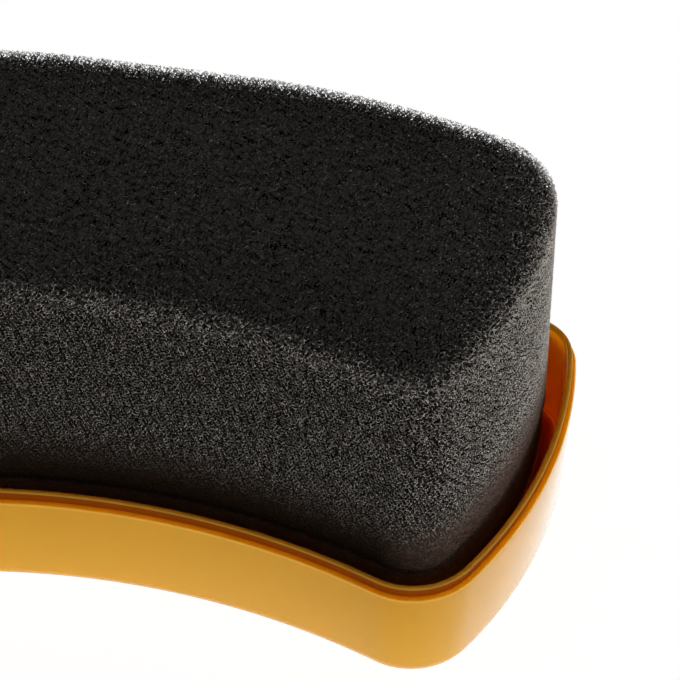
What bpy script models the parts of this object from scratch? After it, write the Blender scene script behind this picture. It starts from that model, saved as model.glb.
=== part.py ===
"""Shoe shine sponge: a kidney-shaped moulded tray that holds a soaked felt, a plate with feed holes
and a block of open-cell foam.

Metres, +Z up. The origin is on the surface that the tray stands on, under the middle of the rim's
outline. X runs along the tray, and its hollow long side faces -Y.
"""
from math import atan2, cos, hypot, pi, sin, sqrt

import bmesh
import bpy

# The rim's outline, seen from above: two long arcs, two end arcs and four rounded corners
LENGTH = 0.1120             # over the two end arcs
WAIST = 0.0497              # front to back at the middle
FRONT_RADIUS = 0.0995       # the hollow long side
BACK_RADIUS = 0.1148        # the round long side, on either side of its straight middle
BACK_STRAIGHT = 0.0190
END_RADIUS = 0.0609
END_CENTRE_BACK = 0.0033    # how far the end arcs' centres lie behind the waist's middle
FRONT_CORNER = 0.0097
BACK_CORNER = 0.0071

# The tray's wall and rim, from the outside in
TRAY_HEIGHT = 0.0155        # the ledge, where the cover's edge comes to rest
DRAFT = 0.0007              # how far the wall leans in at its foot
BOTTOM_RADIUS = 0.0021
RIM_EDGE = 0.00025          # rounding of the rim's outer edge
LEDGE_WIDTH = 0.00055
LIP_RISE = 0.0016           # the upright lip inside the ledge
LIP_WALL = 0.00065
LIP_EDGE = 0.00018
FLOOR = 0.0016

# The upright rib round the well in the tray's floor
WELL_RISE = 0.0050          # above the floor
WELL_WALL = 0.0012

# What lies in the tray
SEAT_GAP = 0.0003           # between pieces that touch
PAD_SLACK = 0.0004          # round the felt in its well
PLATE_THICKNESS = 0.0010
HOLE_DIAMETER = 0.0022
HOLE_PITCH = 0.0100         # along a row
ROW_PITCH = 0.0085          # from row to row
ROW_COUNT = 3
HOLE_MARGIN = 0.0040        # least material between a hole and the well's rib
BEAD_WIDTH = 0.0009         # of the glue under the foam's edge, outside the rib
BEAD_HEIGHT = 0.0024
FOAM_GAP = 0.0025           # all round, between the lip and the foam
FOAM_HEIGHT = 0.0421
FOAM_EDGE = 0.0012          # rounding of the foam's top edge
FOAM_BACK_CORNER = 0.0120   # rounder than the tray's own

# How finely the curves are cut
LONG_STEPS = 12             # on half of a long side
CORNER_STEPS = 8
END_STEPS = 10
ROUND_STEPS = 4             # across a rounded edge
HOLE_SIDES = 12
SHARP_ANGLE = pi / 6        # an edge that turns more is shaded as a crease

AMBER = (0.58, 0.29, 0.04)  # the plastic of the tray and the plate


def direction(origin, point):
    """Angle of the line from origin to point."""
    return atan2(point[1] - origin[1], point[0] - origin[0])


def on_circle(centre, radius, angle):
    return (centre[0] + radius * cos(angle), centre[1] + radius * sin(angle))


def circles_meet(centre_a, radius_a, centre_b, radius_b):
    """The right-hand meeting point of two circles."""
    span = hypot(centre_b[0] - centre_a[0], centre_b[1] - centre_a[1])
    along = (radius_a ** 2 - radius_b ** 2 + span ** 2) / (2 * span)
    across = sqrt(max(radius_a ** 2 - along ** 2, 0.0))
    heading = direction(centre_a, centre_b)
    foot = on_circle(centre_a, along, heading)
    return max(on_circle(foot, across, heading + side * pi / 2) for side in (-1, 1))


def arc(centre, radius, start, end, steps):
    """Points along an arc, without its last one."""
    return [on_circle(centre, radius, start + (end - start) * i / steps) for i in range(steps)]


def half_outline(inset, back_corner):
    """The right half of the outline, from the front's middle round to the back's, moved inwards.

    back_corner is the radius of the back corner before that move.
    """
    front = (0.0, -WAIST / 2 - FRONT_RADIUS)
    back = (BACK_STRAIGHT / 2, WAIST / 2 - BACK_RADIUS)
    end = (LENGTH / 2 - END_RADIUS, END_CENTRE_BACK)
    front_radius = FRONT_RADIUS + inset
    back_radius = BACK_RADIUS - inset
    end_radius = END_RADIUS - inset
    front_round = max(FRONT_CORNER - inset, RIM_EDGE)
    back_round = max(back_corner - inset, RIM_EDGE)
    low = circles_meet(front, front_radius + front_round, end, end_radius - front_round)
    high = circles_meet(back, back_radius - back_round, end, end_radius - back_round)
    points = arc(front, front_radius, pi / 2, direction(front, low), LONG_STEPS)
    points += arc(low, front_round, direction(low, front), direction(end, low), CORNER_STEPS)
    points += arc(end, end_radius, direction(end, low), direction(end, high), END_STEPS)
    points += arc(high, back_round, direction(end, high), direction(back, high), CORNER_STEPS)
    points += arc(back, back_radius, direction(back, high), pi / 2, LONG_STEPS)
    return points + [(0.0, WAIST / 2 - inset)]


def outline_middle():
    """Y of the middle of the rim's box."""
    heights = [y for _, y in half_outline(0.0, BACK_CORNER)]
    return (min(heights) + max(heights)) / 2


MIDDLE = outline_middle()


def ring(inset, z, back_corner):
    """The whole outline at one height, anticlockwise from above."""
    right = half_outline(inset, back_corner)
    left = [(-x, y) for x, y in reversed(right[1:-1])]
    return [(x, y - MIDDLE, z) for x, y in right + left]


def lean(z):
    """How far the tray's wall stands inside the rim's outline at a height."""
    return DRAFT * (1 - z / TRAY_HEIGHT)


def wall_inset(z):
    """Inset of the tray's inner wall at a height."""
    return LEDGE_WIDTH + LIP_WALL + lean(min(z, TRAY_HEIGHT))


def rounded(inset, z, radius, start, end):
    """Profile points round an edge: its centre's inset and height, and two angles up from outwards."""
    angles = [start + (end - start) * i / ROUND_STEPS for i in range(ROUND_STEPS + 1)]
    return [(inset - radius * cos(a), z + radius * sin(a)) for a in angles]


def loft(name, profile, material, back_corner=BACK_CORNER, closed=False):
    """A solid whose skin follows the outline along a profile of (inset, height) points."""
    mesh = bpy.data.meshes.new(name)
    body = bmesh.new()
    rings = [[body.verts.new(point) for point in ring(inset, z, back_corner)] for inset, z in profile]
    if closed:
        rings.append(rings[0])
    else:
        body.faces.new(list(reversed(rings[0])))
        body.faces.new(rings[-1])
    for lower, upper in zip(rings, rings[1:]):
        for i in range(len(lower)):
            j = (i + 1) % len(lower)
            body.faces.new((lower[i], lower[j], upper[j], upper[i]))
    body.to_mesh(mesh)
    body.free()
    mesh.shade_smooth()
    mesh.set_sharp_from_angle(angle=SHARP_ANGLE)
    mesh.materials.append(material)
    piece = bpy.data.objects.new(name, mesh)
    bpy.context.scene.collection.objects.link(piece)
    return piece


def principled(name, color, roughness, metallic=0.0):
    material = bpy.data.materials.new(name)
    material.use_nodes = True
    shader = material.node_tree.nodes["Principled BSDF"]
    shader.inputs["Base Color"].default_value = (*color, 1.0)
    shader.inputs["Roughness"].default_value = roughness
    shader.inputs["Metallic"].default_value = metallic
    return material


# Heights and insets that follow from the sizes above
well_top = FLOOR + WELL_RISE
plate_foot = well_top + SEAT_GAP
plate_top = plate_foot + PLATE_THICKNESS
foam_foot = plate_top + SEAT_GAP
foam_inset = wall_inset(TRAY_HEIGHT) + FOAM_GAP
foam_top = foam_foot + FOAM_HEIGHT
foam_outline_corner = FOAM_BACK_CORNER + foam_inset
bead_outside = foam_inset + SEAT_GAP
bead_inside = bead_outside + BEAD_WIDTH
rib_outside = bead_inside + SEAT_GAP
rib_inside = rib_outside + WELL_WALL


def base_tray():
    lip_top = TRAY_HEIGHT + LIP_RISE
    profile = rounded(lean(BOTTOM_RADIUS) + BOTTOM_RADIUS, BOTTOM_RADIUS, BOTTOM_RADIUS, -pi / 2, 0.0)
    profile += rounded(RIM_EDGE, TRAY_HEIGHT - RIM_EDGE, RIM_EDGE, 0.0, pi / 2)
    profile += [(LEDGE_WIDTH, TRAY_HEIGHT)]
    profile += rounded(LEDGE_WIDTH + LIP_EDGE, lip_top - LIP_EDGE, LIP_EDGE, 0.0, pi / 2)
    profile += rounded(LEDGE_WIDTH + LIP_WALL - LIP_EDGE, lip_top - LIP_EDGE, LIP_EDGE, pi / 2, pi)
    profile += [
        (wall_inset(TRAY_HEIGHT), TRAY_HEIGHT),
        (wall_inset(FLOOR), FLOOR),
        (rib_outside, FLOOR),
        (rib_outside, well_top),
        (rib_inside, well_top),
        (rib_inside, FLOOR),
    ]
    return loft("base_tray", profile, principled("tray_plastic", AMBER, 0.28))


def reservoir_pad():
    inset = rib_inside + PAD_SLACK
    profile = [(inset, FLOOR + SEAT_GAP), (inset, plate_foot - SEAT_GAP)]
    return loft("reservoir_pad", profile, principled("polish_felt", (0.10, 0.08, 0.06), 0.9))


def feed_hole_pins():
    """Cutter for the plate: rows of pins on arcs that run parallel to the hollow side."""
    cutter = bmesh.new()
    centre = (0.0, -WAIST / 2 - FRONT_RADIUS - MIDDLE)
    reach = LENGTH / 2 - rib_inside - HOLE_MARGIN - HOLE_DIAMETER / 2
    for row in range(ROW_COUNT):
        radius = FRONT_RADIUS + WAIST / 2 + (row - (ROW_COUNT - 1) / 2) * ROW_PITCH
        count = int(reach / HOLE_PITCH)
        for step in range(-count, count + 1):
            x, y = on_circle(centre, radius, pi / 2 - step * HOLE_PITCH / radius)
            made = bmesh.ops.create_cone(
                cutter, cap_ends=True, segments=HOLE_SIDES, depth=3 * PLATE_THICKNESS,
                radius1=HOLE_DIAMETER / 2, radius2=HOLE_DIAMETER / 2)
            bmesh.ops.translate(cutter, verts=made["verts"], vec=(x, y, (plate_foot + plate_top) / 2))
    mesh = bpy.data.meshes.new("feed_hole_pins")
    cutter.to_mesh(mesh)
    cutter.free()
    pins = bpy.data.objects.new("feed_hole_pins", mesh)
    bpy.context.scene.collection.objects.link(pins)
    pins.hide_render = True
    pins.display_type = "WIRE"
    return pins


def feed_plate():
    profile = [(rib_outside, plate_foot), (rib_outside, plate_top)]
    plate = loft("feed_plate", profile, principled("plate_plastic", AMBER, 0.4))
    holes = plate.modifiers.new("feed_holes", "BOOLEAN")
    holes.operation = "DIFFERENCE"
    holes.object = feed_hole_pins()
    return plate


def glue_bead():
    """Hangs under the foam's edge, beside the plate and the rib, with its lower side rounded."""
    half = BEAD_WIDTH / 2
    low = plate_top - BEAD_HEIGHT
    shoulder = low + min(half, BEAD_HEIGHT * 2 / 3)
    profile = []
    for i in range(ROUND_STEPS + 1):
        angle = pi * i / ROUND_STEPS
        profile.append((bead_inside - half + half * cos(angle), shoulder - (shoulder - low) * sin(angle)))
    profile += [(bead_outside, plate_top), (bead_inside, plate_top)]
    return loft("glue_bead", profile, principled("hot_melt_glue", (0.50, 0.24, 0.04), 0.35), closed=True)


def foam_block():
    profile = [(foam_inset, foam_foot)]
    profile += rounded(foam_inset + FOAM_EDGE, foam_top - FOAM_EDGE, FOAM_EDGE, 0.0, pi / 2)
    foam = principled("black_foam", (0.035, 0.032, 0.030), 0.95)
    return loft("foam_block", profile, foam, foam_outline_corner)


def main():
    for item in list(bpy.data.objects):
        bpy.data.objects.remove(item)
    base_tray()
    reservoir_pad()
    feed_plate()
    glue_bead()
    foam_block()


main()
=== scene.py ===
"""Shoe shine sponge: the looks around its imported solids.

The amber tray and the foam are modelled here, each in the place of its plain solid. The felt, the
plate and the glue bead keep their solids and get a finish. Metres, +Z up, X along the tray.
"""
from math import atan2, cos, hypot, pi, radians, sin, sqrt

import bpy
import numpy as np
from bpy.props import FloatProperty, FloatVectorProperty, IntProperty, PointerProperty
from mathutils import Euler, Matrix, Vector


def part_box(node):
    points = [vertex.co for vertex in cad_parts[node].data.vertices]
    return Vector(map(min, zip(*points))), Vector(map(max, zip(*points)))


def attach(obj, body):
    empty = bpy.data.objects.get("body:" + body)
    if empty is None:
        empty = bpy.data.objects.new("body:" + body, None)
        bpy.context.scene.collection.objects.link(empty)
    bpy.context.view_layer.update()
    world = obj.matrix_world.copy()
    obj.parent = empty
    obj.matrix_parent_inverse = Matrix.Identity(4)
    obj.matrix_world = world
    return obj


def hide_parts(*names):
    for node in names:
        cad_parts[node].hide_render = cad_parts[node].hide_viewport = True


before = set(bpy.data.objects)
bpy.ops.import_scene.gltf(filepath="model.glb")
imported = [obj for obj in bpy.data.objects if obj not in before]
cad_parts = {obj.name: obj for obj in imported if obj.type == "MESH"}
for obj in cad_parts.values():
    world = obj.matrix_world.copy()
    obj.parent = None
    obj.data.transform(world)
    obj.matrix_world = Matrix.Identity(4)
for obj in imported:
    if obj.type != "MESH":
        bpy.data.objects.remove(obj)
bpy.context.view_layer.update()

TRAY_LOW, TRAY_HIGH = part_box("base_tray")
FOAM_LOW, FOAM_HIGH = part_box("foam_block")
FOAM_INSET = FOAM_LOW.x - TRAY_LOW.x

bl_info = {
    "name": "Shoe Shine Sponge",
    "version": (1, 0, 0),
    "blender": (4, 5, 0),
    "location": "3D View > Sidebar > Sponge",
    "description": "Models a kidney-shaped shoe shine sponge: a moulded tray with a block of open-cell foam",
    "category": "Mesh",
}


def metres(name, default, description):
    return FloatProperty(name=name, description=description, default=default, min=0.0,
                         unit="LENGTH", subtype="DISTANCE", precision=5)


def xyz(name, default, description):
    return FloatVectorProperty(name=name, description=description, default=default, size=3,
                               unit="LENGTH", subtype="TRANSLATION")


def colour(name, default, description):
    return FloatVectorProperty(name=name, description=description, default=default, size=3,
                               min=0.0, max=1.0, subtype="COLOR")


def number(name, default, description, **more):
    return FloatProperty(name=name, description=description, default=default, **more)


class OutlineSettings(bpy.types.PropertyGroup):
    """The rim's outline, seen from above: two long arcs, two end arcs and four rounded corners."""
    length: metres("Length", TRAY_HIGH.x - TRAY_LOW.x, "Over the two end arcs")
    waist: metres("Waist", 0.0497, "Front to back at the middle")
    front_radius: metres("Front radius", 0.0995, "The hollow long side")
    back_radius: metres("Back radius", 0.1148, "The round long side")
    back_straight: metres("Back straight", 0.0190, "Straight middle of the round long side")
    end_radius: metres("End radius", 0.0609, "The two short sides")
    end_centre_back: metres("End centre", 0.0033, "The end arcs' centres, behind the waist's middle")
    front_corner: metres("Front corner", 0.0097, "Rounding of the two front corners")
    back_corner: metres("Back corner", 0.0071, "Rounding of the two back corners")


class TraySettings(bpy.types.PropertyGroup):
    """The tray's wall, rim and well, and its plastic."""
    height: metres("Ledge height", 0.0155, "The ledge that the cover's edge comes to rest on")
    draft: metres("Draft", 0.0007, "How far the wall leans in at its foot")
    bottom_radius: metres("Bottom radius", 0.0021, "Rounding between wall and underside")
    rim_edge: metres("Rim edge", 0.00025, "Rounding of the rim's outer edge")
    ledge_width: metres("Ledge width", 0.00055, "The flat outside the lip")
    lip_rise: metres("Lip rise", 0.0016, "The lip's height above the ledge")
    lip_wall: metres("Lip wall", 0.00080, "Thickness of the lip")
    undercut: metres("Undercut", 0.0002, "How far the lip's outside leans back, for the cover's bead")
    lip_edge: metres("Lip edge", 0.00018, "Rounding of the lip's outer edge")
    lip_inner_edge: metres("Lip inner edge", 0.00035, "Rounding of the lip's inner edge")
    floor: metres("Floor", 0.0016, "Thickness of the tray's floor")
    well_rise: metres("Well rise", 0.0050, "Height of the well's rib")
    well_wall: metres("Well wall", 0.0012, "Thickness of the well's rib")
    rib_set_back: metres("Rib set back", 0.0015, "How far the well's rib stands inside the foam's skin")
    amber: colour("Amber", (0.63, 0.295, 0.001), "The tray's plastic")
    deep_amber: colour("Deep amber", (0.61, 0.277, 0.0005), "The darker clouds in it")
    # Painted light: the wall's foot is painted lighter, for the floor's light that it shows.
    lit_foot_amber: colour("Foot amber", (0.74, 0.365, 0.002), "The wall's foot, which light comes up through")
    # Painted light: the inside is painted brighter orange, for the light that comes through the wall.
    glowing_inner_amber: colour("Inner amber", (0.95, 0.52, 0.030), "The wall's inside")
    # Painted highlight: a gold band along the rim's rounded outer edge.
    rim_highlight_gold: colour("Ledge gold", (0.78, 0.43, 0.040), "The rim's outer edge")
    ledge_orange: colour("Ledge orange", (0.64, 0.285, 0.004), "The ledge")
    # Painted shade: the ledge is painted darker and redder beside the lip.
    crease_shade_red: colour("Crease red", (0.48, 0.140, 0.001), "The ledge beside the lip")
    # Painted shade: the lip's outside is painted dark brown, for its shade and the dark inside behind it.
    lip_shade_brown: colour("Lip brown", (0.24, 0.045, 0.0005), "The lip, which the dark inside shows through")
    # Painted sheen: the lip's top and inner edge are painted a pale tan, for the reflections they show.
    lip_sheen_tan: colour("Lip tan", (0.43, 0.215, 0.016), "The lip's top")
    # Painted highlight: a lighter line along the outer edge of the lip's top.
    lip_highlight_line: colour("Lip line", (0.48, 0.24, 0.030), "The outer edge of the lip's top")
    glow: number("Glow", 1.0, "How much light goes through the plastic")
    glow_reach: metres("Glow reach", 0.0030, "How far red light goes inside the plastic")
    glow_green: number("Glow green", 0.48, "Green light's share of that reach")
    glow_blue: number("Glow blue", 0.06, "Blue light's share of it")
    index: number("Index", 1.245, "Refractive index of the plastic")
    lip_index: number("Lip index", 1.08, "Refractive index of the lip's duller skin")
    coat: number("Coat", 1.0, "How much of a clear skin the plastic has")
    coat_roughness: number("Coat roughness", 0.08, "How dull that skin is")


class InsideSettings(bpy.types.PropertyGroup):
    """The felt and the glue under the foam."""
    felt_dark: colour("Felt dark", (0.05, 0.04, 0.03), "Between the felt's fibres")
    felt_light: colour("Felt light", (0.16, 0.13, 0.10), "The felt's fibres")
    glue_dark: colour("Glue dark", (0.50, 0.22, 0.030), "Between the glue's strings")
    glue_light: colour("Glue light", (0.60, 0.28, 0.050), "The glue's strings")


class FoamSettings(bpy.types.PropertyGroup):
    """The block of open-cell foam."""
    edge: metres("Edge", 0.0012, "Rounding of the foam's top edge")
    back_corner: metres("Back corner", 0.0120, "Rounding of the foam's two back corners")
    cell: metres("Cell", 0.00062, "Spacing of the foam's cells")
    strut: metres("Strut", 0.000070, "Width of a strut at its slimmest joint")
    depth: metres("Depth", 0.00030, "How deep the open cells are modelled")
    core_edge: metres("Core edge", 0.0046, "Rounding of the dark heart's top edge")
    hidden: metres("Hidden", 0.0055, "How much of the foam's foot has no open cells, deep in the tray")
    shake: number("Shake", 0.13, "How far a joint strays, as a share of a cell")
    fringe: number("Fringe", 0.4, "Share of the joints lost at the worn top edge")
    knot: number("Knot", 1.0, "How much thicker the lightest joints are")
    worn_thin: number("Worn thin", 0.25, "How much thinner the struts are at the worn edge")
    root_thick: number("Root thick", 1.3, "How much thicker they are at its root")
    root_depth: metres("Root depth", 0.0004, "How deep under the skin that starts")
    slices: IntProperty(name="Slices", description="Pieces that the cells come in, along X", default=10)
    seed: IntProperty(name="Seed", description="Start of the foam's random draws", default=7)
    # Painted shade: struts are painted darker the deeper they lie under the skin.
    fade: metres("Fade", 0.00014, "How deep in the foam the struts have turned nearly black")
    # Painted light at the top edge: there the painted shade comes on more slowly.
    edge_painted_fade: number("Worn fade", 3.0, "How much deeper light goes at the worn edge")
    # Painted light on the top: its own dimmer, more even strut colours; lean sets how far that reaches.
    top_fade: number("Top fade", 0.7, "How much deeper light goes on the top")
    lean: number("Lean", 0.25, "The share of the top's look at the very edge")
    # Painted glints: joints drawn at random are painted lighter, as glints on the struts.
    dim: number("Dim", 0.45, "The dimmest joint's share of the light")
    # The top's painted light: dimmer and more even joints than the sides'.
    top_dim: number("Top dim", 0.35, "The same on the top")
    top_bright: number("Top bright", 0.80, "The brightest top joint's share")
    sparse: number("Sparse", 1.0, "Higher makes the light joints fewer")
    top_sparse: number("Top sparse", 5.0, "The same on the top, which is more even")
    # Painted light: the struts at the top edge are painted lighter.
    edge_painted_light: number("Worn light", 0.38, "How much lighter the struts are at the worn edge")
    # Painted light: the struts of the two ends are painted paler, from end low to end high.
    end_painted_light: number("End light", 0.56, "How much paler the two worn ends are")
    end_low: metres("End low", 0.036, "Where the worn ends start, from the middle")
    end_high: metres("End high", 0.052, "Where their foot is palest, from the middle")
    # Painted shade and glints: the deeper struts are painted near black, the lightest at the skin are
    # glints.
    black: colour("Black", (0.0018, 0.0016, 0.0014), "The foam's deeper struts")
    glint_grey: colour("Charcoal", (0.72, 0.665, 0.60), "The lightest struts, at the skin")
    # Painted shade: the heart is the foam's black, darkened for the shade deep in the cells.
    heart: colour("Heart", (0.0145, 0.0122, 0.0094), "The depth between the cells of the sides")
    # Painted light: the heart is painted lighter under the top.
    lit_top_heart: colour("Top heart", (0.125, 0.117, 0.104), "The depth between the cells of the top")
    # Painted shade and glow: dark brown foot in the tray's shade, lighter where the amber wall lights it.
    foot: colour("Foot", (0.016, 0.0085, 0.0045), "The foam's foot, brown with polish")
    end_foot_glow: colour("End foot", (0.160, 0.100, 0.078), "The same at the worn ends")
    deep_foot_glow: colour("Deep foot", (0.500, 0.260, 0.150), "The foam's foot between the tray's walls")
    # Heights over which the foot's painted shade and glow give way to the foam's colours.
    foot_low: metres("Foot low", 0.0180, "Height below which the foam is all brown")
    foot_high: metres("Foot high", 0.0280, "Height above which the foam is black")
    # Below foot low, the painted glow of the gap between the walls takes over.
    deep_start: metres("Deep start", 0.0018, "How far below foot low the deep foot's colour starts")
    deep_full: metres("Deep full", 0.0033, "How far below foot low the deep foot's colour is full")
    gloss: number("Gloss", 0.40, "Roughness of the struts")
    shine: number("Shine", 0.12, "Specular level of the struts")


class StageSettings(bpy.types.PropertyGroup):
    """Camera, lamps and floor."""
    azimuth: number("Azimuth", radians(10.2141), "How far round the object the camera stands",
                    subtype="ANGLE")
    elevation: number("Elevation", radians(46.4376), "How far above the floor it looks down from",
                      subtype="ANGLE")
    distance: metres("Distance", 0.439904, "From the camera to the point it looks at")
    aim_right: metres("Aim right", 0.026452, "How far right of the origin it looks")
    aim_up: metres("Aim up", 0.017105, "How far above the origin it looks, in the picture")
    lens: number("Lens", 175.45, "Focal length in millimetres")
    sensor: number("Sensor", 36.0, "Width of the sensor in millimetres")
    nearest: metres("Nearest", 0.01, "The nearest that the camera sees")
    farthest: metres("Farthest", 20.0, "The farthest that it sees")
    lit: xyz("Lit", (0.0, 0.0, 0.02), "What the softboxes look at")
    front_place: xyz("Front place", (0.5, -0.75, 0.10), "Where the front softbox stands")
    front_width: metres("Front width", 0.8, "Of the front softbox")
    front_power: number("Front power", 1.5, "Of the front softbox", unit="POWER")
    right_place: xyz("Right place", (0.6, 0.6, 0.12), "Where the right softbox stands")
    right_width: metres("Right width", 1.5, "Of the right softbox")
    right_power: number("Right power", 2.6, "Of the right softbox", unit="POWER")
    softbox_height: metres("Softbox height", 0.2, "Of both softboxes")
    table_place: xyz("Table place", (0.0, 0.0, 0.0003), "Where the glowing table's face lies")
    table_width: metres("Table width", 1.6, "Of the glowing table, both ways")
    table_power: number("Table power", 5.0, "Of the glowing table", unit="POWER")
    horizon: number("Horizon", 1.7, "Brightness of the room near the floor")
    zenith: number("Zenith", 0.0, "Brightness of the room overhead")
    dimmed: number("Dimmed", 0.6, "How high up it is as dim as overhead, where overhead is 1")
    floor_width: metres("Floor width", 3.0, "Of the floor, both ways")
    paper: colour("Paper", (0.86, 0.86, 0.86), "The floor")
    paper_glow: number("Paper glow", 1.2, "Strength of the floor's own white")
    paper_seen: number("Paper seen", 0.8, "Share of that white in the floor that the eye sees")
    front_mirrored: number("Front mirrored", 0.56, "The same in reflections of the floor in front")
    right_mirrored: number("Right mirrored", 0.95, "The same in reflections of the floor at the right")
    front_end: metres("Front end", 0.035, "How far right the floor in front goes")
    right_start: metres("Right start", 0.060, "How far right the floor at the right starts")


def angle_to(origin, point):
    """Angle of the line from origin to point."""
    return atan2(point[1] - origin[1], point[0] - origin[0])


def on_circle(centre, radius, angle):
    return (centre[0] + radius * cos(angle), centre[1] + radius * sin(angle))


def circles_meet(centre_a, radius_a, centre_b, radius_b):
    """The right-hand meeting point of two circles."""
    span = hypot(centre_b[0] - centre_a[0], centre_b[1] - centre_a[1])
    along = (radius_a ** 2 - radius_b ** 2 + span ** 2) / (2 * span)
    across = sqrt(max(radius_a ** 2 - along ** 2, 0.0))
    heading = angle_to(centre_a, centre_b)
    foot = on_circle(centre_a, along, heading)
    return max(on_circle(foot, across, heading + side * pi / 2) for side in (-1, 1))


def outline_arcs(back_corner):
    """The right half's arcs, front to back: centre, radius, and the way out at start and end.

    back_corner is the radius of the back corner, counted at the rim's outline.
    """
    shape = bpy.context.scene.sponge_outline
    front = (0.0, -shape.waist / 2 - shape.front_radius)
    back = (shape.back_straight / 2, shape.waist / 2 - shape.back_radius)
    end = (shape.length / 2 - shape.end_radius, shape.end_centre_back)
    low = circles_meet(front, shape.front_radius + shape.front_corner,
                       end, shape.end_radius - shape.front_corner)
    high = circles_meet(back, shape.back_radius - back_corner, end, shape.end_radius - back_corner)
    middle = (low[1] - shape.front_corner + shape.waist / 2) / 2
    ways = [-pi / 2, angle_to(low, front), angle_to(end, low), angle_to(end, high), angle_to(back, high),
            pi / 2]
    centres = [(x, y - middle) for x, y in (front, low, end, high, back)]
    radii = [shape.front_radius, shape.front_corner, shape.end_radius, back_corner, shape.back_radius]
    return list(zip(centres, radii, ways, ways[1:]))


ARC_STEPS = (28, 20, 24, 22, 30)  # of the outline's arcs, front to back
ROUND_STEPS = 5  # of a rounded edge
MIRROR_REACH = 0.00001  # within which the two halves are joined
DOUBLES_REACH = 0.000002  # within which doubles are merged
SMOOTH_TURN = radians(32)  # the sharpest turn that is still shaded smooth


def rounded(inset, z, radius, start, end):
    """Profile points round an edge: its centre's inset and height, and two angles up from outwards."""
    angles = [start + (end - start) * step / ROUND_STEPS for step in range(ROUND_STEPS + 1)]
    return [(inset - radius * cos(angle), z + radius * sin(angle)) for angle in angles]


def swept(name, profile, back_corner):
    """A closed solid whose skin follows the outline along a profile of (inset, height) points.

    The profile is drawn at the middle of the front, spun round the centre of one arc after the
    other, drawn out along the straight of the back, mirrored, and closed at its two ends.
    """
    shape = bpy.context.scene.sponge_outline
    arcs = outline_arcs(back_corner)
    (_, front_centre), front_radius, _, _ = arcs[0]
    inset, height = profile[0]
    bpy.ops.object.select_all(action="DESELECT")
    bpy.ops.mesh.primitive_plane_add(size=shape.waist, location=(0, 0, 0))
    piece = bpy.context.object
    piece.name = piece.data.name = name
    bpy.ops.object.mode_set(mode="EDIT")
    bpy.ops.mesh.select_all(action="SELECT")
    bpy.ops.mesh.merge(type="CENTER")
    bpy.ops.transform.translate(value=(0, front_centre + front_radius + inset, height))
    for here, there in zip(profile, profile[1:]):
        step = (0, there[0] - here[0], there[1] - here[1])
        bpy.ops.mesh.extrude_region_move(TRANSFORM_OT_translate={"value": step})
    bpy.ops.mesh.select_all(action="SELECT")
    for (centre, _, way, next_way), steps in zip(arcs, ARC_STEPS):
        bpy.ops.mesh.spin(steps=steps, angle=way - next_way, center=(*centre, 0), axis=(0, 0, 1))
    to_middle = (-shape.back_straight / 2, 0, 0)
    bpy.ops.mesh.extrude_region_move(TRANSFORM_OT_translate={"value": to_middle})
    bpy.ops.object.mode_set(mode="OBJECT")
    mirror = piece.modifiers.new("left_half", "MIRROR")
    mirror.merge_threshold = MIRROR_REACH
    bpy.ops.object.modifier_apply(modifier=mirror.name)
    bpy.ops.object.mode_set(mode="EDIT")
    bpy.ops.mesh.select_all(action="SELECT")
    bpy.ops.mesh.remove_doubles(threshold=DOUBLES_REACH)
    bpy.ops.mesh.fill_holes(sides=0)
    bpy.ops.mesh.normals_make_consistent(inside=False)
    bpy.ops.object.mode_set(mode="OBJECT")
    bpy.ops.object.shade_smooth_by_angle(angle=SMOOTH_TURN)
    return piece


def depths(points, back_corner):
    """How far points lie inside the rim's outline, seen from above."""
    front, low, end, high, back = outline_arcs(back_corner)
    x, y = np.abs(points[:, 0]), points[:, 1]

    def away(arc):
        return np.hypot(x - arc[0][0], y - arc[0][1])

    inside = np.minimum(away(front) - front[1], end[1] - away(end))
    straight = x < back[0][0]
    inside = np.minimum(inside, back[1] - np.where(straight, y - back[0][1], away(back)))
    for corner in (low, high):
        centre, radius, way, next_way = corner
        angle = np.arctan2(y - centre[1], x - centre[0])
        turning = (angle >= way) & (angle <= next_way)
        inside = np.where(turning, np.minimum(inside, radius - away(corner)), inside)
    return inside


def places_of(elements, field):
    """Where a mesh's points ("co") or faces ("center") are, one row for each."""
    places = np.empty(3 * len(elements), np.float32)
    elements.foreach_get(field, places)
    return places.reshape(-1, 3)


def keep_values(mesh, name, values):
    """Keeps a value for each of a mesh's points, for its material to read."""
    mesh.attributes.new(name, "FLOAT", "POINT").data.foreach_set("value", values.astype(np.float32))


def below_skin(inside, below, edge):
    """Depth under a skin with a flat top and upright sides that meet in a rounded edge."""
    corner = edge - np.hypot(np.maximum(edge - inside, 0), np.maximum(edge - below, 0))
    return np.where((inside < edge) & (below < edge), corner, np.minimum(inside, below))


# Joints of the foam in one cube of its lattice, in quarters of the cube's side. Each cube holds two
# cells with fourteen faces, and a strut joins every two joints that are a half diagonal apart.
QUARTERS = np.array([
    (0, 1, 2), (0, 3, 2), (2, 1, 0), (2, 3, 0), (1, 0, 2), (3, 0, 2),
    (1, 2, 0), (3, 2, 0), (0, 2, 1), (0, 2, 3), (2, 0, 1), (2, 0, 3),
])
LATTICE_TURN = (31, 17, 23)  # degrees, so that its rows lie along no side of the foam
WAVE_LENGTH = 9  # cells, of the waves that hide the rows that are left
WAVE_HEIGHT = 0.35  # of a cell
WAVE_SLANT = 0.7  # how much of a second axis is in them


def struts_of_cube():
    """The struts that start in one cube: both ends in quarters of its side."""
    struts = []
    for one, start in enumerate(QUARTERS):
        for other, stop in enumerate(QUARTERS):
            for place in np.ndindex(3, 3, 3):
                offset = np.array(place) - 1
                end = stop + 4 * offset
                if ((end - start) ** 2).sum() == 2 and (one, other, *offset) > (other, one, *-offset):
                    struts.append((start, end))
    return np.array(struts)


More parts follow.
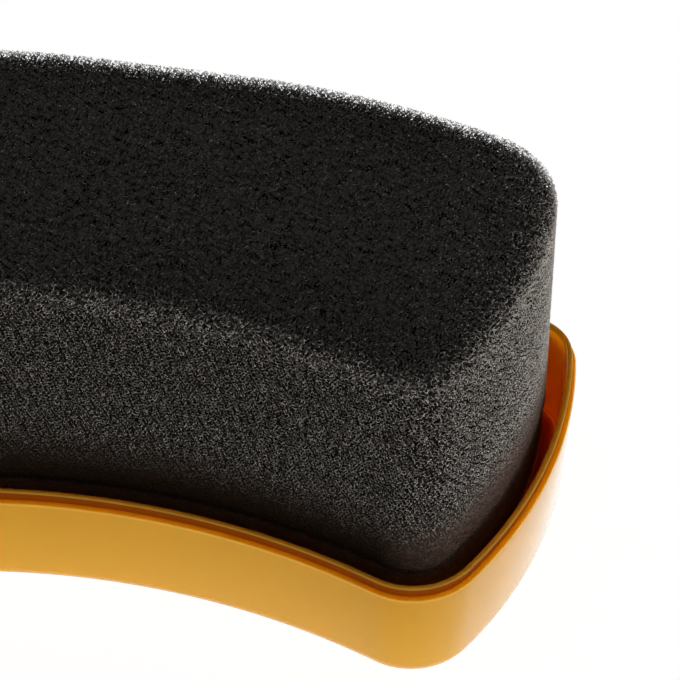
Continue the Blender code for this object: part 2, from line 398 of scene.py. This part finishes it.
def foam_layers(foam, points):
    """How points lie in the foam.

    Gives their depth under its skin and inside its heart, how far up they face and how worn they are.
    """
    inside = depths(points, foam.back_corner + FOAM_INSET) - FOAM_INSET
    below = FOAM_HIGH.z - points[:, 2]
    skin = below_skin(inside, below, foam.edge)
    heart = below_skin(inside - foam.depth, below - foam.depth, foam.core_edge)
    # How far a point faces up, which blends in the top's painted light.
    upwards = np.clip((inside - below) / (2 * foam.edge) + foam.lean, 0, 1)
    # Nearness to the top edge, where joints are lost, struts thinned, and struts painted lighter.
    worn = np.clip(1 - np.maximum(inside, below) / foam.core_edge, 0, 1)
    return skin, heart, upwards, worn


def lattice(foam, rng):
    """The lattice's joints near the foam's skin, and for each strut the numbers of its two joints."""
    low = np.array((FOAM_LOW.x, FOAM_LOW.y, FOAM_LOW.z + foam.hidden))
    high = np.array(FOAM_HIGH)
    turn = np.array(Euler([radians(part) for part in LATTICE_TURN]).to_matrix())
    reach = np.abs((high - low) / 2) @ np.abs(turn)

    def placed(quarters):
        return (quarters * (foam.cell / 4) - reach) @ turn.T + (low + high) / 2

    counts = np.ceil(2 * reach / foam.cell).astype(int)
    steps = [np.arange(count) for count in counts]
    cubes = 4 * np.stack(np.meshgrid(*steps, indexing="ij"), -1).reshape(-1, 3)
    points = placed(cubes + 2)
    skin, heart, _, _ = foam_layers(foam, points)
    near = (skin > -foam.cell) & (heart < foam.cell) & (points[:, 2] > low[2] - foam.cell)
    ends = (cubes[near][:, None, None, :] + struts_of_cube()[None]).reshape(-1, 3)
    # Struts share their joints. Each joint's place gets one whole number, by which its copies are found.
    counted = ends - ends.min()
    span = counted.max() + 1
    keys = (counted[:, 0] * span + counted[:, 1]) * span + counted[:, 2]
    _, first, index = np.unique(keys, return_index=True, return_inverse=True)
    joints = placed(ends[first])
    joints += rng.normal(0, foam.shake * foam.cell, joints.shape)
    wave = 2 * pi / (WAVE_LENGTH * foam.cell)
    slanted = joints[:, [1, 2, 0]] * wave + joints[:, [2, 0, 1]] * wave * WAVE_SLANT
    joints += WAVE_HEIGHT * foam.cell * np.sin(slanted)
    return joints, index.reshape(-1, 2).T


def joint_looks(foam, rng, joints, skin, upwards, worn):
    """Each joint's painted light, shade and glints, and how wide its struts are there."""
    draw = rng.random(len(joints))
    # Painted glints at joints drawn at random.
    glint = draw ** foam.sparse
    side_light = foam.dim + (1 - foam.dim) * glint
    # The top's painted light: dimmer and more even joints.
    top_light = foam.top_dim + (foam.top_bright - foam.top_dim) * draw ** foam.top_sparse
    # Painted shade comes on more slowly under the top edge and the top.
    fade = foam.fade * (1 + foam.edge_painted_fade * worn) * (1 + foam.top_fade * upwards)
    # Painted shade that deepens under the skin, times the painted glints.
    light = np.exp(-np.maximum(skin, 0) / fade) * (side_light + (top_light - side_light) * upwards)
    # Painted light at the top edge.
    light *= 1 + foam.edge_painted_light * worn
    # Painted light on the two ends.
    past_end_low = (np.abs(joints[:, 0]) - foam.end_low) / (FOAM_HIGH.x - foam.end_low)
    light *= 1 + foam.end_painted_light * np.clip(past_end_low, 0, 1)
    width = foam.strut * (1 + foam.knot * glint) * (1 - foam.worn_thin * worn)
    width *= 1 + foam.root_thick * np.clip((skin - foam.root_depth) / (2 * foam.root_depth), 0, 1)
    return light, width


def foam_struts(foam, rng):
    """The struts between the foam's skin and its heart, cut off at the skin.

    Gives both ends of each strut, and how light and how wide it is at each end.
    """
    joints, (one, other) = lattice(foam, rng)
    skin, heart, upwards, worn = foam_layers(foam, joints)
    lowest = FOAM_LOW.z + foam.hidden
    kept = (heart < 0) & (joints[:, 2] > lowest) & (rng.random(len(joints)) > foam.fringe * worn)
    use = kept[one] & kept[other] & ((skin[one] > 0) | (skin[other] > 0))
    one, other = one[use], other[use]
    start, stop = joints[one], joints[other]
    at_skin = np.clip(skin[one] / (skin[one] - skin[other] + 1e-12), 0, 1)
    cut = start + (stop - start) * at_skin[:, None]
    start = np.where((skin[one] > 0)[:, None], start, cut)
    stop = np.where((skin[other] > 0)[:, None], stop, cut)
    whole = np.linalg.norm(stop - start, axis=1) > 0.5 * foam.strut
    light, width = joint_looks(foam, rng, joints, skin, upwards, worn)
    pairs = np.stack([one, other], 1)[whole]
    return start[whole], stop[whole], light[pairs], width[pairs]


UV_MARGIN = 0.02  # round the struts' places in their UV map
UV_REACH = 0.004  # of a strut's corners from its place


def strut_mesh(name, start, stop, light, width, height, rng):
    """Slim four-sided struts: an edge at each end, crosswise to the other.

    light, width and height, from 0 to 1, have a value for each end. Light goes along as the attribute
    that the struts' material reads. The UV map lays every strut out by its light and its height, on
    which its colour depends, so struts of about one colour share one place.
    """
    count = len(start)
    along = stop - start
    along /= np.linalg.norm(along, axis=1)[:, None]
    across = np.cross(along, rng.normal(size=(count, 3)))
    across /= np.linalg.norm(across, axis=1)[:, None]
    near = width[:, :1] / 2 * across
    far = width[:, 1:] / 2 * np.cross(along, across)
    points = np.stack([start - near, start + near, stop - far, stop + far], 1)
    faces = np.array([(0, 1, 2), (0, 3, 1), (0, 2, 3), (1, 3, 2)])
    loops = (np.arange(count)[:, None, None] * 4 + faces).ravel()
    mesh = bpy.data.meshes.new(name)
    mesh.vertices.add(count * 4)
    mesh.vertices.foreach_set("co", points.astype(np.float32).ravel())
    mesh.loops.add(len(loops))
    mesh.loops.foreach_set("vertex_index", loops.astype(np.int32))
    mesh.polygons.add(count * 4)
    mesh.polygons.foreach_set("loop_start", np.arange(0, len(loops), 3, dtype=np.int32))
    mesh.update(calc_edges=True)
    keep_values(mesh, "light", np.repeat(light, 2))
    layout = np.stack([np.clip(light, 0, 1), height], -1) * (1 - 2 * UV_MARGIN) + UV_MARGIN
    layout = np.repeat(layout, 2, axis=1) + UV_REACH * np.array([(-1, 0), (1, 0), (0, -1), (0, 1)])
    corners = layout[:, faces.ravel()]
    mesh.uv_layers.new(name="OFBake").data.foreach_set("uv", corners.astype(np.float32).ravel())
    piece = bpy.data.objects.new(name, mesh)
    bpy.context.scene.collection.objects.link(piece)
    return piece


def principled(name, **sockets):
    """A material with a Principled shader, and its node tree."""
    material = bpy.data.materials.new(name)
    material.use_nodes = True
    tree = material.node_tree
    shader = tree.nodes["Principled BSDF"]
    for socket, value in sockets.items():
        shader.inputs[socket.replace("_", " ")].default_value = value
    return material, tree, shader


def feed(tree, source, socket):
    """Gives a socket its source: a node's output, a colour or a number."""
    if isinstance(source, bpy.types.NodeSocket):
        tree.links.new(source, socket)
    elif hasattr(source, "__len__"):
        socket.default_value = (*source, 1.0)
    else:
        socket.default_value = source


def pattern(tree, kind, output, **sockets):
    """A texture on Object coordinates, so that it stays put on the piece."""
    coordinates = tree.nodes.new("ShaderNodeTexCoord")
    texture = tree.nodes.new(kind)
    for socket, value in sockets.items():
        texture.inputs[socket].default_value = value
    tree.links.new(coordinates.outputs["Object"], texture.inputs["Vector"])
    return texture.outputs[output]


def noise(tree, scale, detail=2.0):
    return pattern(tree, "ShaderNodeTexNoise", "Fac", Scale=scale, Detail=detail)


def place_along(tree, axis, coordinates="Object"):
    """How far along an axis a point lies."""
    source = tree.nodes.new("ShaderNodeTexCoord")
    parts = tree.nodes.new("ShaderNodeSeparateXYZ")
    tree.links.new(source.outputs[coordinates], parts.inputs[0])
    return parts.outputs[axis]


def kept_value(tree, name):
    """What the mesh keeps for its points under a name."""
    kept = tree.nodes.new("ShaderNodeAttribute")
    kept.attribute_name = name
    return kept.outputs["Fac"]


def share(tree, value, low, high, start=0.0, stop=1.0, easing="LINEAR"):
    """Runs from start, where the value is low or less, to stop, where it is high or more."""
    between = tree.nodes.new("ShaderNodeMapRange")
    between.interpolation_type = easing
    limits = {"From Min": low, "From Max": high, "To Min": start, "To Max": stop}
    for socket, limit in limits.items():
        between.inputs[socket].default_value = limit
    tree.links.new(value, between.inputs["Value"])
    return between.outputs["Result"]


def height_share(tree, low, high, easing="LINEAR"):
    """Where a point of the piece lies between two heights, from 0 to 1."""
    return share(tree, place_along(tree, "Z"), low, high, easing=easing)


def inset_share(tree, low, high):
    """Where a point of the tray lies between two insets from the outline, from 0 to 1."""
    return share(tree, kept_value(tree, "inset"), low, high)


def end_share(tree, low, high):
    """Where a point of the piece lies between two distances from its middle, from 0 to 1."""
    return share(tree, worked_out(tree, "ABSOLUTE", place_along(tree, "X")), low, high)


def worked_out(tree, operation, *sources):
    """A sum, product or the like of outputs and numbers."""
    made = tree.nodes.new("ShaderNodeMath")
    made.operation = operation
    for source, socket in zip(sources, made.inputs):
        feed(tree, source, socket)
    return made.outputs[0]


def ramp(tree, source, stops):
    """Colours or greys along a value."""
    made = tree.nodes.new("ShaderNodeValToRGB")
    while len(made.color_ramp.elements) < len(stops):
        made.color_ramp.elements.new(0.5)
    for element, (position, shade) in zip(made.color_ramp.elements, stops):
        element.position = position
        element.color = (*shade, 1.0) if hasattr(shade, "__len__") else (shade, shade, shade, 1.0)
    tree.links.new(source, made.inputs["Fac"])
    return made.outputs["Color"]


def mixed(tree, factor, first, second):
    """The first colour where the factor is 0, the second where it is 1."""
    blend = tree.nodes.new("ShaderNodeMix")
    blend.data_type = "RGBA"
    feed(tree, factor, blend.inputs["Factor"])
    feed(tree, first, blend.inputs["A"])
    feed(tree, second, blend.inputs["B"])
    return blend.outputs["Result"]


def bump(tree, shader, height, distance, strength):
    made = tree.nodes.new("ShaderNodeBump")
    made.inputs["Distance"].default_value = distance
    made.inputs["Strength"].default_value = strength
    tree.links.new(height, made.inputs["Height"])
    tree.links.new(made.outputs["Normal"], shader.inputs["Normal"])


def glowing_plastic(name, tray, index, coat):
    """The tray's plastic, which lets some light through."""
    material, tree, shader = principled(
        name, IOR=index, Coat_IOR=index, Coat_Weight=coat, Coat_Roughness=tray.coat_roughness,
        Subsurface_Weight=tray.glow, Subsurface_Scale=tray.glow_reach,
        Subsurface_Radius=(1.0, tray.glow_green, tray.glow_blue))
    shader.subsurface_method = "BURLEY"
    haze = noise(tree, scale=420.0, detail=3.0)
    tree.links.new(ramp(tree, haze, [(0.3, 0.12), (0.7, 0.18)]), shader.inputs["Roughness"])
    return material, tree, shader


def amber_plastic(tray):
    """Clouded amber with painted light: a lighter foot and inside, a gold rim highlight, shade by the lip.
    """
    material, tree, shader = glowing_plastic("amber_plastic", tray, tray.index, tray.coat)
    lip_top = tray.height + tray.lip_rise
    clouded = ramp(tree, noise(tree, scale=55.0), [(0.35, tray.deep_amber), (0.65, tray.amber)])
    # Painted light: the wall turns lighter towards its foot.
    wall = mixed(tree, height_share(tree, 0.0, tray.height), tray.lit_foot_amber, clouded)
    # Painted shade: across the ledge, the colour darkens towards the lip.
    across = inset_share(tree, 0.0, tray.ledge_width + tray.undercut)
    ledge = ramp(tree, across, [(0.45, tray.ledge_orange), (1.0, tray.crease_shade_red)])
    # Painted highlight: the gold band runs round the rim's outer edge, below the ledge.
    on_ledge = height_share(tree, tray.height - tray.rim_edge / 3, tray.height)
    in_rim = height_share(tree, tray.height - 1.6 * tray.rim_edge, tray.height - 0.8 * tray.rim_edge)
    outside = mixed(tree, in_rim, wall, mixed(tree, on_ledge, tray.rim_highlight_gold, ledge))
    inner_edge = tray.lip_inner_edge
    # Painted sheen: the lip's inner edge turns to the lip's top colour.
    in_lip = height_share(tree, lip_top - 1.7 * inner_edge, lip_top - 0.3 * inner_edge)
    # Painted light: the brighter inside colour stands in for the light through the wall.
    inside = mixed(tree, in_lip, tray.glowing_inner_amber, tray.lip_sheen_tan)
    lip_inside = tray.ledge_width + tray.lip_wall
    past_lip = inset_share(tree, lip_inside - inner_edge, lip_inside - 0.7 * inner_edge)
    off_underside = height_share(tree, tray.bottom_radius, 1.2 * tray.bottom_radius)
    within = worked_out(tree, "MULTIPLY", past_lip, off_underside)
    tree.links.new(mixed(tree, within, outside, inside), shader.inputs["Base Color"])
    return material


def lip_plastic(tray):
    """The thin lip: painted shade outside, a painted sheen and highlight line on top, duller than the wall.
    """
    material, tree, shader = glowing_plastic("lip_plastic", tray, tray.lip_index, 0.0)
    lip_top = tray.height + tray.lip_rise
    # Painted highlight along the outer edge of the lip's top.
    across = inset_share(tree, tray.ledge_width, tray.ledge_width + 2 * tray.lip_edge)
    top = ramp(tree, across, [(0.4, tray.lip_highlight_line), (1.0, tray.lip_sheen_tan)])
    # Painted shade on the lip's outside, below its top.
    on_top = height_share(tree, lip_top - 1.25 * tray.lip_edge, lip_top - 0.6 * tray.lip_edge)
    tree.links.new(mixed(tree, on_top, tray.lip_shade_brown, top), shader.inputs["Base Color"])
    return material


def painted_foot(tree, foam, colours):
    """Colours with the foot's painted shade, and its painted glow at the two ends and between the walls."""
    at_end = end_share(tree, foam.end_low, foam.end_high)
    above_deep = height_share(tree, foam.foot_low - foam.deep_full, foam.foot_low - foam.deep_start)
    # Painted shade at the foot, with painted glow at the ends and between the walls.
    foot_shade_and_glow = mixed(tree, above_deep, foam.deep_foot_glow, mixed(tree, at_end, foam.foot, foam.end_foot_glow))
    above_foot = height_share(tree, foam.foot_low, foam.foot_high, "SMOOTHSTEP")
    return mixed(tree, above_foot, foot_shade_and_glow, colours)


def foam_strut_material(foam):
    material, tree, shader = principled("black_foam", Roughness=foam.gloss, Specular_IOR_Level=foam.shine)
    # From the painted shade of the deeper struts to the painted glints at the skin.
    halfway = [(dark * 3 + light) / 4 for dark, light in zip(foam.black, foam.glint_grey)]
    stops = [(0.0, foam.black), (0.5, halfway), (1.0, foam.glint_grey)]
    colours = ramp(tree, kept_value(tree, "light"), stops)
    tree.links.new(painted_foot(tree, foam, colours), shader.inputs["Base Color"])
    return material


def foam_heart_material(foam):
    material, tree, shader = principled("foam_heart", Roughness=0.9, Specular_IOR_Level=0.0)
    cells = pattern(tree, "ShaderNodeTexVoronoi", "Distance", Scale=1500.0)
    top = FOAM_HIGH.z - foam.depth
    # Painted light: the heart turns lighter towards the top.
    towards_top = height_share(tree, top - foam.core_edge / 2, top)
    sides_to_top = mixed(tree, towards_top, foam.heart, foam.lit_top_heart)
    # Painted shade mottles the heart's cells with the deeper struts' near black.
    mottled = mixed(tree, share(tree, cells, 0.3, 0.9), sides_to_top, foam.black)
    tree.links.new(painted_foot(tree, foam, mottled), shader.inputs["Base Color"])
    bump(tree, shader, cells, distance=0.0003, strength=0.8)
    return material


def polish_felt(inside):
    material, tree, shader = principled("polish_felt", Roughness=0.9)
    fibres = noise(tree, scale=1800.0, detail=4.0)
    colours = ramp(tree, fibres, [(0.3, inside.felt_dark), (0.7, inside.felt_light)])
    tree.links.new(colours, shader.inputs["Base Color"])
    bump(tree, shader, fibres, distance=0.0002, strength=0.7)
    return material


def plate_plastic(tray):
    """The feed plate's plastic: the tray's amber, moulded thinner and duller."""
    material, tree, shader = principled("plate_plastic", Roughness=0.4)
    colours = ramp(tree, noise(tree, scale=90.0), [(0.3, tray.deep_amber), (0.7, tray.amber)])
    tree.links.new(colours, shader.inputs["Base Color"])
    bump(tree, shader, noise(tree, scale=1500.0), distance=0.00003, strength=0.3)
    return material


def hot_melt_glue(inside):
    material, tree, shader = principled("hot_melt_glue", Roughness=0.35)
    strings = noise(tree, scale=260.0)
    colours = ramp(tree, strings, [(0.3, inside.glue_dark), (0.7, inside.glue_light)])
    tree.links.new(colours, shader.inputs["Base Color"])
    bump(tree, shader, strings, distance=0.0003, strength=0.5)
    return material


def dress(piece, material):
    """Gives a piece its finish and its body."""
    piece.data.materials.clear()
    piece.data.materials.append(material)
    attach(piece, "root")


class SPONGE_OT_tray(bpy.types.Operator):
    """Model the moulded tray with its stepped rim"""
    bl_idname = "sponge.tray"
    bl_label = "Tray"

    def execute(self, context):
        tray = context.scene.sponge_tray
        foot, edge, inner_edge = tray.bottom_radius, tray.lip_edge, tray.lip_inner_edge
        foot_lean = tray.draft * (1 - foot / tray.height)
        lip_top = tray.height + tray.lip_rise
        lip_inside = tray.ledge_width + tray.lip_wall
        floor_wall = lip_inside + tray.draft * (1 - tray.floor / tray.height)
        well_top = tray.floor + tray.well_rise
        rib_outside = FOAM_INSET + tray.rib_set_back
        rib_inside = rib_outside + tray.well_wall
        profile = rounded(foot_lean + foot, foot, foot, -pi / 2, 0.0)
        profile += rounded(tray.rim_edge, tray.height - tray.rim_edge, tray.rim_edge, 0.0, pi / 2)
        profile += [(tray.ledge_width + tray.undercut, tray.height)]
        profile += rounded(tray.ledge_width + edge, lip_top - edge, edge, 0.0, pi / 2)
        profile += rounded(lip_inside - inner_edge, lip_top - inner_edge, inner_edge, pi / 2, pi)
        profile += [(floor_wall, tray.floor), (rib_outside, tray.floor), (rib_outside, well_top),
                    (rib_inside, well_top), (rib_inside, tray.floor)]
        back_corner = context.scene.sponge_outline.back_corner
        piece = swept("tray", profile, back_corner)
        keep_values(piece.data, "inset", depths(places_of(piece.data.vertices, "co"), back_corner))
        dress(piece, amber_plastic(tray))
        piece.data.materials.append(lip_plastic(tray))
        faces = places_of(piece.data.polygons, "center")
        in_lip = depths(faces, back_corner) < lip_inside - inner_edge
        in_lip &= faces[:, 2] > tray.height + 0.1 * tray.lip_rise
        piece.data.polygons.foreach_set("material_index", in_lip.astype(np.int32))
        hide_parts("base_tray")
        return {"FINISHED"}


class SPONGE_OT_inside(bpy.types.Operator):
    """Give the felt, the plate and the glue bead their finish"""
    bl_idname = "sponge.inside"
    bl_label = "Felt, plate and glue"

    def execute(self, context):
        finishes = {
            "reservoir_pad": polish_felt(context.scene.sponge_inside),
            "feed_plate": plate_plastic(context.scene.sponge_tray),
            "glue_bead": hot_melt_glue(context.scene.sponge_inside),
        }
        for node, material in finishes.items():
            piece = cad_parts[node]
            piece.data.materials.clear()
            piece.data.materials.append(material)
        return {"FINISHED"}


class SPONGE_OT_foam(bpy.types.Operator):
    """Model the foam: a dark heart and the open cells around it"""
    bl_idname = "sponge.foam"
    bl_label = "Foam"

    def execute(self, context):
        foam = context.scene.sponge_foam
        core_inset = FOAM_INSET + foam.depth
        core_top = FOAM_HIGH.z - foam.depth
        profile = [(core_inset, FOAM_LOW.z)]
        profile += rounded(core_inset + foam.core_edge, core_top - foam.core_edge, foam.core_edge,
                           0.0, pi / 2)
        heart = swept("foam_heart", profile, foam.back_corner + FOAM_INSET)
        dress(heart, foam_heart_material(foam))
        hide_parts("foam_block")
        rng = np.random.default_rng(foam.seed)
        start, stop, light, width = foam_struts(foam, rng)
        material = foam_strut_material(foam)
        # The lowest height at which the foot's painted shade and glow change the colour.
        foot_paint_low = foam.foot_low - foam.deep_full
        heights = np.stack([start[:, 2], stop[:, 2]], 1)
        height = np.clip((heights - foot_paint_low) / (foam.foot_high - foot_paint_low), 0, 1)
        order = np.argsort(start[:, 0])
        for index, picked in enumerate(np.array_split(order, foam.slices), 1):
            cells = strut_mesh(f"foam_cells_{index}", start[picked], stop[picked], light[picked],
                               width[picked], height[picked], rng)
            dress(cells, material)
        return {"FINISHED"}


def softbox(name, stand, aim, width, height, power):
    """A lamp with a rectangular face that stands at one point and looks at another."""
    bpy.ops.object.light_add(type="AREA", location=stand)
    lamp = bpy.context.object
    lamp.name = name
    lamp.data.shape = "RECTANGLE"
    lamp.data.size, lamp.data.size_y = width, height
    lamp.data.energy = power
    lamp.rotation_euler = (Vector(aim) - Vector(stand)).to_track_quat("-Z", "Y").to_euler()
    return lamp


class SPONGE_OT_stage(bpy.types.Operator):
    """Set up the floor, the lamps, the surroundings and the camera"""
    bl_idname = "sponge.stage"
    bl_label = "Stage"

    def execute(self, context):
        stage = context.scene.sponge_stage
        bpy.ops.object.select_all(action="DESELECT")
        bpy.ops.mesh.primitive_plane_add(size=stage.floor_width, location=(0, 0, 0))
        floor = context.object
        floor.name = "floor"
        floor.data.materials.append(self.paper(stage))
        self.surroundings(context, stage)
        softbox("front_softbox", stage.front_place, stage.lit, stage.front_width, stage.softbox_height,
                stage.front_power)
        softbox("right_softbox", stage.right_place, stage.lit, stage.right_width, stage.softbox_height,
                stage.right_power)
        table = softbox("light_table", stage.table_place, (0, 0, 1), stage.table_width, stage.table_width,
                        stage.table_power)
        table.visible_camera = table.visible_glossy = False
        self.camera(context, stage)
        context.scene.view_settings.view_transform = "Standard"
        return {"FINISHED"}

    def paper(self, stage):
        """White paper: diffuse for the lamps, and mostly white by itself to the eye and in reflections."""
        material, tree, shader = principled("paper", Roughness=0.9)
        feed(tree, stage.paper, shader.inputs["Base Color"])
        bump(tree, shader, noise(tree, scale=700.0, detail=3.0), distance=0.00005, strength=0.1)
        glow = tree.nodes.new("ShaderNodeEmission")
        glow.inputs["Strength"].default_value = stage.paper_glow
        path = tree.nodes.new("ShaderNodeLightPath")
        mirrored = share(tree, place_along(tree, "X"), stage.front_end, stage.right_start,
                         stage.front_mirrored, stage.right_mirrored)
        glossy = worked_out(tree, "MULTIPLY", path.outputs["Is Glossy Ray"], mirrored)
        white = worked_out(tree, "MULTIPLY_ADD", path.outputs["Is Camera Ray"], stage.paper_seen, glossy)
        blend = tree.nodes.new("ShaderNodeMixShader")
        tree.links.new(white, blend.inputs["Fac"])
        tree.links.new(shader.outputs[0], blend.inputs[1])
        tree.links.new(glow.outputs[0], blend.inputs[2])
        tree.links.new(blend.outputs[0], tree.nodes["Material Output"].inputs["Surface"])
        return material

    def surroundings(self, context, stage):
        """A room that is bright near the floor and dim overhead, and white where the eye sees it."""
        world = bpy.data.worlds.new("surroundings")
        context.scene.world = world
        world.use_nodes = True
        tree = world.node_tree
        room = tree.nodes["Background"]
        room.inputs["Color"].default_value = (1, 1, 1, 1)
        brightness = share(tree, place_along(tree, "Z", "Generated"), 0.0, stage.dimmed,
                           stage.horizon, stage.zenith)
        tree.links.new(brightness, room.inputs["Strength"])
        white = tree.nodes.new("ShaderNodeBackground")
        white.inputs["Color"].default_value = (1, 1, 1, 1)
        path = tree.nodes.new("ShaderNodeLightPath")
        blend = tree.nodes.new("ShaderNodeMixShader")
        tree.links.new(path.outputs["Is Camera Ray"], blend.inputs["Fac"])
        tree.links.new(room.outputs[0], blend.inputs[1])
        tree.links.new(white.outputs[0], blend.inputs[2])
        tree.links.new(blend.outputs[0], tree.nodes["World Output"].inputs["Surface"])

    def camera(self, context, stage):
        """The camera at the photographed angle."""
        sin_a, cos_a = sin(stage.azimuth), cos(stage.azimuth)
        sin_e, cos_e = sin(stage.elevation), cos(stage.elevation)
        right = Vector((cos_a, sin_a, 0.0))
        ahead = Vector((-sin_a * cos_e, cos_a * cos_e, -sin_e))
        up = right.cross(ahead)
        aim = right * stage.aim_right + up * stage.aim_up
        bpy.ops.object.camera_add()
        camera = context.object
        camera.name = "camera"
        turned = Matrix((right, up, -ahead)).transposed().to_4x4()
        camera.matrix_world = Matrix.Translation(aim - ahead * stage.distance) @ turned
        camera.data.lens = stage.lens
        camera.data.sensor_width = stage.sensor
        camera.data.clip_start, camera.data.clip_end = stage.nearest, stage.farthest
        context.scene.camera = camera


class VIEW3D_PT_sponge(bpy.types.Panel):
    """The steps that make the sponge"""
    bl_label = "Shoe Shine Sponge"
    bl_idname = "VIEW3D_PT_sponge"
    bl_space_type = "VIEW_3D"
    bl_region_type = "UI"
    bl_category = "Sponge"

    def draw(self, context):
        for group in SETTINGS:
            settings = getattr(context.scene, group)
            for name in settings.bl_rna.properties.keys():
                if name not in ("rna_type", "name"):
                    self.layout.prop(settings, name)
        for step in STEPS:
            self.layout.operator(step.bl_idname)


SETTINGS = {
    "sponge_outline": OutlineSettings,
    "sponge_tray": TraySettings,
    "sponge_inside": InsideSettings,
    "sponge_foam": FoamSettings,
    "sponge_stage": StageSettings,
}
STEPS = (SPONGE_OT_tray, SPONGE_OT_inside, SPONGE_OT_foam, SPONGE_OT_stage)


def register():
    for made in (*SETTINGS.values(), *STEPS, VIEW3D_PT_sponge):
        bpy.utils.register_class(made)
    for name, group in SETTINGS.items():
        setattr(bpy.types.Scene, name, PointerProperty(type=group))


def unregister():
    for name in SETTINGS:
        delattr(bpy.types.Scene, name)
    for made in reversed((*SETTINGS.values(), *STEPS, VIEW3D_PT_sponge)):
        bpy.utils.unregister_class(made)


def main():
    register()
    bpy.ops.sponge.tray()
    bpy.ops.sponge.inside()
    bpy.ops.sponge.foam()
    bpy.ops.sponge.stage()


if __name__ == "__main__":
    main()
